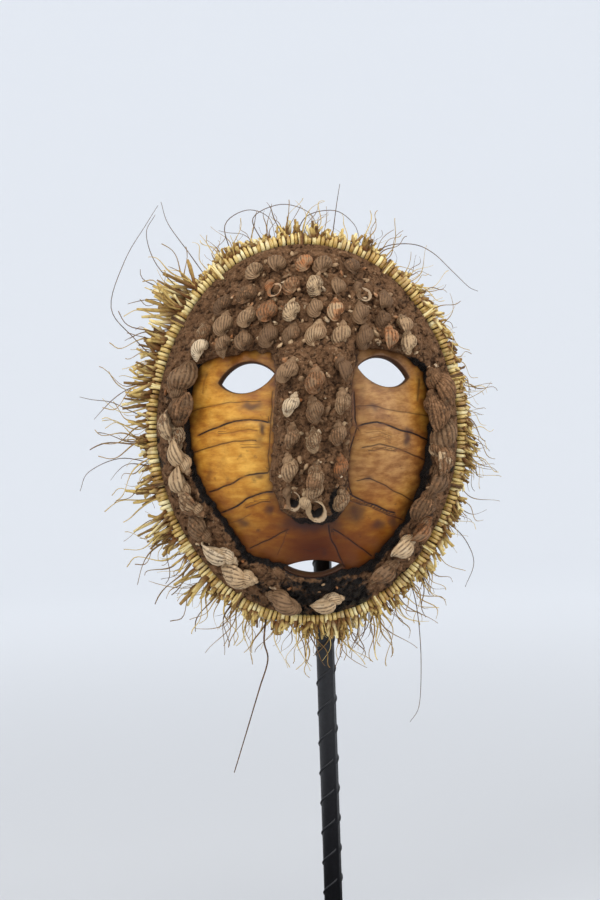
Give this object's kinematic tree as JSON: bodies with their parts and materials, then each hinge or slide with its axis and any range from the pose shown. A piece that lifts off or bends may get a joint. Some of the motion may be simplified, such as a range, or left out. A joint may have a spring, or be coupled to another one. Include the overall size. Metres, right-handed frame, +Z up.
{
  "type": "folk mask on a stand",
  "caption": "Domed oval mask of turtle shell and mastic set with snail shells, with a cane-bound fibre rim, hung on a ribbed steel post with a base plate.",
  "frame": {"origin": "centre of the base's underside, on the post's axis", "axes": "+Z up along the post; the mask faces -Y; +X is to the right in the front view"},
  "size_m": [0.2589, 0.1708, 0.5011],
  "materials": {
    "carapace": null,
    "mastic": null,
    "snail": null,
    "cane": "glossy split cane",
    "fibre": "dry plant fibre",
    "felt": "dark grey felt",
    "black_paint": "black paint on ribbed steel bar and plate",
    "sleeve_rubber": "soft black tube"
  },
  "bodies": {
    "stand": {"base_pad": "felt", "base_plate": "black_paint", "post_weld": "black_paint", "post": "black_paint", "hanger_arm": "black_paint", "hanger_bar": "black_paint", "hanger_sleeve_left": "sleeve_rubber", "hanger_sleeve_right": "sleeve_rubber"},
    "mask": {"turtle_shell": "carapace", "mastic_bed": "mastic", "nose_ridge": "mastic", "forehead_snails_upper": "snail", "forehead_snails_lower": "snail", "nose_snails": "snail", "left_cheek_snails": "snail", "right_cheek_snails": "snail", "chin_snails": "snail", "nose_tip_snail": "snail", "rim_core": "fibre", "inner_hoop": "cane", "rim_lashings": "fibre", "rim_binding_top": "cane", "rim_binding_left": "cane", "rim_binding_bottom": "cane", "rim_binding_right": "cane", "fringe_top": "fibre", "fringe_left": "fibre", "fringe_bottom": "fibre", "fringe_right": "fibre", "loose_strands": "fibre"}
  },
  "joints": [
    {"name": "mask_lift", "type": "slide", "parent": "stand", "child": "mask", "axis": [0, 0, 1], "range_m": [0, 0.05]}
  ]
}
